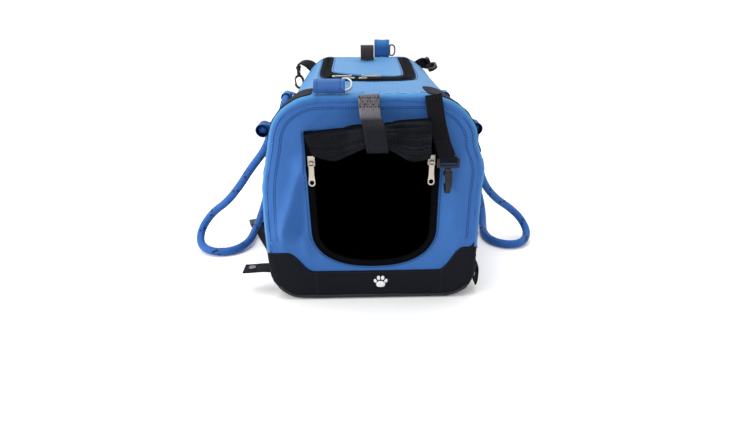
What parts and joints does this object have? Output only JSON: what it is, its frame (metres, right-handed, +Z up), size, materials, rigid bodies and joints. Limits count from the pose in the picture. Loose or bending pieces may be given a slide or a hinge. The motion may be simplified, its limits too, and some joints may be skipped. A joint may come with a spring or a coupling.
{
  "type": "pet_carrier_bag",
  "caption": "Blue soft-sided pet carrier bag with black base, front mesh door rolled up, zipped top hatch, side windows, rope handles and clip-on strap hooks",
  "frame": {"origin": "centre of the flat bottom of the bag", "axes": "+Z up, -Y to the front door, +X to the right seen from the front"},
  "size_m": [0.5669, 0.534, 0.3132],
  "materials": {
    "shell_fabric": "matte",
    "black_fabric": "matte",
    "mesh": "matte",
    "webbing": "matte",
    "black_plastic": "satin",
    "metal": "polished",
    "spring_steel": "satin",
    "rope_cord": "matte",
    "board": "matte",
    "pad_plush": "matte",
    "badge_print": "matte"
  },
  "bodies": {
    "carrier": {"base_shell": "black_fabric", "front_panel": "shell_fabric", "back_panel": "shell_fabric", "top_panel": "shell_fabric", "left_side_panel": "shell_fabric", "right_side_panel": "shell_fabric", "left_window_mesh": "mesh", "right_window_mesh": "mesh", "window_bindings": "black_fabric", "base_piping": "black_fabric", "arch_piping": "shell_fabric", "corner_patches": "black_fabric", "paw_badge": "badge_print", "front_frame": "spring_steel", "rear_frame": "spring_steel", "base_board": "board", "floor_pad": "pad_plush", "front_zip_tape": "black_fabric", "rolled_door": "mesh", "front_roll_strap": "webbing", "top_zip_outer_tape": "black_fabric", "front_left_tab": "shell_fabric", "rear_right_tab": "shell_fabric", "handle_tunnels": "shell_fabric", "floor_strap": "webbing", "floor_strap_clip": "black_plastic"},
    "hatch_flap": {"top_flap": "shell_fabric", "top_zip_inner_tape": "black_fabric", "top_roll_strap": "webbing"},
    "left_top_slider_body": {"left_top_slider": "metal"},
    "right_top_slider_body": {"right_top_slider": "metal"},
    "left_top_puller_body": {"left_top_puller": "metal"},
    "right_top_puller_body": {"right_top_puller": "metal"},
    "left_front_slider_body": {"left_front_slider": "metal"},
    "right_front_slider_body": {"right_front_slider": "metal"},
    "left_front_puller_body": {"left_front_puller": "metal"},
    "right_front_puller_body": {"right_front_puller": "metal"},
    "front_left_ring_body": {"front_left_ring": "metal"},
    "rear_right_ring_body": {"rear_right_ring": "metal"},
    "front_right_strap_body": {"front_right_strap": "webbing"},
    "front_right_bail_body": {"front_right_bail": "black_plastic"},
    "front_right_hook_body": {"front_right_hook": "black_plastic"},
    "front_right_gate_body": {"front_right_gate": "black_plastic"},
    "rear_left_strap_body": {"rear_left_strap": "webbing"},
    "rear_left_bail_body": {"rear_left_bail": "black_plastic"},
    "rear_left_hook_body": {"rear_left_hook": "black_plastic"},
    "rear_left_gate_body": {"rear_left_gate": "black_plastic"},
    "rear_right_strap_body": {"rear_right_strap": "webbing"},
    "rear_right_bail_body": {"rear_right_bail": "black_plastic"},
    "rear_right_hook_body": {"rear_right_hook": "black_plastic"},
    "rear_right_gate_body": {"rear_right_gate": "black_plastic"},
    "left_handle": {"left_handle_rope": "rope_cord"},
    "right_handle": {"right_handle_rope": "rope_cord"},
    "left_snap": {"left_snap_tab": "black_fabric", "left_snap_stud": "metal"},
    "right_snap": {"right_snap_tab": "black_fabric", "right_snap_stud": "metal"}
  },
  "joints": [
    {"name": "hatch_flap_lift", "type": "hinge", "parent": "carrier", "child": "hatch_flap", "pos_m": [0, 0.205, 0.28], "axis": [-1, 0, 0], "range_deg": [0, 105]},
    {"name": "left_top_zip", "type": "slide", "parent": "hatch_flap", "child": "left_top_slider_body", "axis": [-1, 0, 0], "range_m": [0, 0.008]},
    {"name": "right_top_zip", "type": "slide", "parent": "hatch_flap", "child": "right_top_slider_body", "axis": [1, 0, 0], "range_m": [0, 0.04]},
    {"name": "left_top_pull", "type": "hinge", "parent": "left_top_slider_body", "child": "left_top_puller_body", "pos_m": [-0.026, -0.093, 0.284], "axis": [0, 1, 0], "range_deg": [0, 110]},
    {"name": "right_top_pull", "type": "hinge", "parent": "right_top_slider_body", "child": "right_top_puller_body", "pos_m": [-0.008, -0.093, 0.284], "axis": [0, -1, 0], "range_deg": [0, 110]},
    {"name": "left_front_zip", "type": "slide", "parent": "carrier", "child": "left_front_slider_body", "axis": [0.0217, 0, -0.9998], "range_m": [0, 0.09]},
    {"name": "right_front_zip", "type": "slide", "parent": "carrier", "child": "right_front_slider_body", "axis": [-0.0217, 0, -0.9998], "range_m": [0, 0.09]},
    {"name": "left_front_pull", "type": "hinge", "parent": "left_front_slider_body", "child": "left_front_puller_body", "pos_m": [-0.0752, -0.2336, 0.197], "axis": [-1, 0, 0], "range_deg": [0, 105]},
    {"name": "right_front_pull", "type": "hinge", "parent": "right_front_slider_body", "child": "right_front_puller_body", "pos_m": [0.0752, -0.2336, 0.197], "axis": [-1, 0, 0], "range_deg": [0, 105]},
    {"name": "left_handle_swing", "type": "hinge", "parent": "carrier", "child": "left_handle", "pos_m": [-0.148, 0, 0.218], "axis": [0, 1, 0], "range_deg": [0, 150]},
    {"name": "right_handle_swing", "type": "hinge", "parent": "carrier", "child": "right_handle", "pos_m": [0.148, 0, 0.218], "axis": [0, -1, 0], "range_deg": [0, 150]},
    {"name": "front_left_ring_turn", "type": "hinge", "parent": "carrier", "child": "front_left_ring_body", "pos_m": [-0.035, -0.229, 0.2832], "axis": [0, 0.8192, 0.5736], "range_deg": [-60, 15]},
    {"name": "rear_right_ring_turn", "type": "hinge", "parent": "carrier", "child": "rear_right_ring_body", "pos_m": [0.0495, 0.226, 0.29], "axis": [0, 0, 1], "range_deg": [-60, 60]},
    {"name": "front_right_strap_lift", "type": "hinge", "parent": "carrier", "child": "front_right_strap_body", "pos_m": [0.076, -0.2332, 0.28], "axis": [-1, 0, 0], "range_deg": [0, 110]},
    {"name": "front_right_bail_turn", "type": "hinge", "parent": "front_right_strap_body", "child": "front_right_bail_body", "pos_m": [0.094, -0.245, 0.203], "axis": [-1, 0, 0], "range_deg": [0, 75]},
    {"name": "front_right_swivel", "type": "hinge", "parent": "front_right_bail_body", "child": "front_right_hook_body", "pos_m": [0.094, -0.245, 0.203], "axis": [0, 0, 1], "range_deg": [-90, 90]},
    {"name": "front_right_gate_push", "type": "hinge", "parent": "front_right_hook_body", "child": "front_right_gate_body", "pos_m": [0.094, -0.2386, 0.1665], "axis": [1, 0, 0], "range_deg": [0, 20], "stiffness_Nm_per_rad": 0.02, "springref_deg": -11.46},
    {"name": "rear_left_strap_lift", "type": "hinge", "parent": "carrier", "child": "rear_left_strap_body", "pos_m": [-0.106, 0.2334, 0.266], "axis": [0.8, 0, 0.6], "range_deg": [0, 45]},
    {"name": "rear_left_bail_turn", "type": "hinge", "parent": "rear_left_strap_body", "child": "rear_left_bail_body", "pos_m": [-0.135, 0.247, 0.258], "axis": [0, 1, 0], "range_deg": [0, 75]},
    {"name": "rear_left_swivel", "type": "hinge", "parent": "rear_left_bail_body", "child": "rear_left_hook_body", "pos_m": [-0.135, 0.247, 0.258], "axis": [0, 0, 1], "range_deg": [-90, 90]},
    {"name": "rear_left_gate_push", "type": "hinge", "parent": "rear_left_hook_body", "child": "rear_left_gate_body", "pos_m": [-0.1414, 0.247, 0.2215], "axis": [0, 1, 0], "range_deg": [0, 20], "stiffness_Nm_per_rad": 0.02, "springref_deg": -11.46},
    {"name": "rear_right_strap_lift", "type": "hinge", "parent": "carrier", "child": "rear_right_strap_body", "pos_m": [0.108, 0.2342, 0.2625], "axis": [-0.7022, -0.05, 0.7102], "range_deg": [0, 60]},
    {"name": "rear_right_bail_turn", "type": "hinge", "parent": "rear_right_strap_body", "child": "rear_right_bail_body", "pos_m": [0.131, 0.243, 0.266], "axis": [-0.4501, -0.2001, 0.8703], "range_deg": [0, 75]},
    {"name": "rear_right_swivel", "type": "hinge", "parent": "rear_right_bail_body", "child": "rear_right_hook_body", "pos_m": [0.131, 0.243, 0.266], "axis": [-0.1016, 0.9797, 0.1727], "range_deg": [-90, 90]},
    {"name": "rear_right_gate_push", "type": "hinge", "parent": "rear_right_hook_body", "child": "rear_right_gate_body", "pos_m": [0.12903, 0.20717, 0.25674], "axis": [0.4501, 0.2001, -0.8703], "range_deg": [0, 20], "stiffness_Nm_per_rad": 0.02, "springref_deg": -11.46},
    {"name": "left_snap_bend", "type": "hinge", "parent": "carrier", "child": "left_snap", "pos_m": [-0.1412, -0.2005, 0.034], "axis": [0, 1, 0], "range_deg": [-45, 75]},
    {"name": "right_snap_bend", "type": "hinge", "parent": "carrier", "child": "right_snap", "pos_m": [0.1424, -0.2005, 0.052], "axis": [0, -1, 0], "range_deg": [0, 90]}
  ]
}
